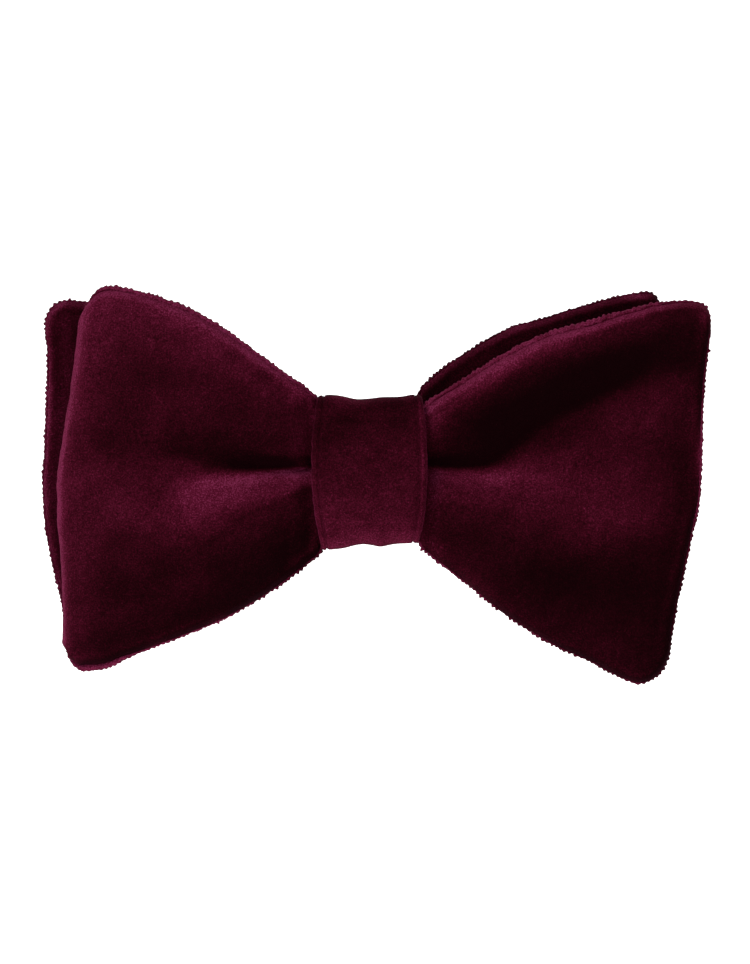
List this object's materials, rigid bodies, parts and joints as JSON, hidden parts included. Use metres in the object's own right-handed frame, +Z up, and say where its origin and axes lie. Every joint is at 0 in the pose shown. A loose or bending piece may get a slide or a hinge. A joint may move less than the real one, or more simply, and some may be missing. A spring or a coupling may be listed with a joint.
{
  "type": "bow tie",
  "caption": "Pre-tied butterfly bow tie in dark velvet: two folded bow strips, a wrapped knot and an adjustable neck strap with a hook and eye.",
  "frame": {"origin": "middle of the neck opening, at the strap's mid-height", "axes": "+Z up, along the neck; -Y the way that the bow faces; +X to the right of someone who looks at the bow"},
  "size_m": [0.1251, 0.1438, 0.0741],
  "materials": {
    "front_velvet": "matt pile velvet, dark burgundy",
    "rear_velvet": "matt pile velvet, dark burgundy, deeper in tone",
    "knot_velvet": "matt pile velvet, dark burgundy",
    "canvas": "plain woven interlining",
    "thread": "sewing thread",
    "strap_satin": "woven satin ribbon",
    "label_satin": "blank satin label",
    "nickel": "polished nickel plate"
  },
  "bodies": {
    "bow": {"front_bow_face_panel": "front_velvet", "front_bow_back_panel": "front_velvet", "front_bow_interlining": "canvas", "rear_bow_face_panel": "rear_velvet", "rear_bow_back_panel": "rear_velvet", "rear_bow_interlining": "canvas", "knot_wrap": "knot_velvet", "knot_interlining": "canvas", "knot_stitches": "thread", "gathering_thread": "thread", "strap_front": "strap_satin", "tab_bar_tack": "thread"},
    "left_length": {"strap_left": "strap_satin"},
    "rear_left_length": {"strap_rear_left": "strap_satin"},
    "rear_length": {"strap_rear": "strap_satin", "woven_label": "label_satin"},
    "end_length": {"strap_end": "strap_satin"},
    "slide_and_return": {"slide": "nickel", "strap_return": "strap_satin", "slide_bar_tack": "thread"},
    "hook": {"hook": "nickel"},
    "eye": {"eye": "nickel"}
  },
  "joints": [
    {"name": "strap_open", "type": "hinge", "parent": "bow", "child": "left_length", "pos_m": [-0.03585, -0.04935, 0], "axis": [0, 0, 1], "range_deg": [0, 32]},
    {"name": "strap_bend_left", "type": "hinge", "parent": "left_length", "child": "rear_left_length", "pos_m": [-0.06096, 0.00213, 0], "axis": [0, 0, 1], "range_deg": [0, 11.2]},
    {"name": "strap_bend_rear", "type": "hinge", "parent": "rear_left_length", "child": "rear_length", "pos_m": [-0.03232, 0.05173, 0], "axis": [0, 0, 1], "range_deg": [0, 6.4]},
    {"name": "strap_bend_right", "type": "hinge", "parent": "rear_length", "child": "end_length", "pos_m": [0.02481, 0.05573, 0], "axis": [0, 0, 1], "range_deg": [0, 3.2]},
    {"name": "slide_travel", "type": "hinge", "parent": "end_length", "child": "slide_and_return", "pos_m": [0, 0, 0], "axis": [0, 0, 1], "range_deg": [-6, 18]},
    {"name": "hook_swivel", "type": "hinge", "parent": "end_length", "child": "hook", "pos_m": [0.03455, -0.04844, 0], "axis": [0, 0, -1], "range_deg": [0, 60]},
    {"name": "eye_swivel", "type": "hinge", "parent": "bow", "child": "eye", "pos_m": [0.01759, -0.05684, 0], "axis": [0, 0, -1], "range_deg": [0, 20]}
  ],
  "couplings": [
    {"joint": "strap_bend_left", "follows": "strap_open", "ratio": 0.35},
    {"joint": "strap_bend_rear", "follows": "strap_open", "ratio": 0.2},
    {"joint": "strap_bend_right", "follows": "strap_open", "ratio": 0.1}
  ]
}
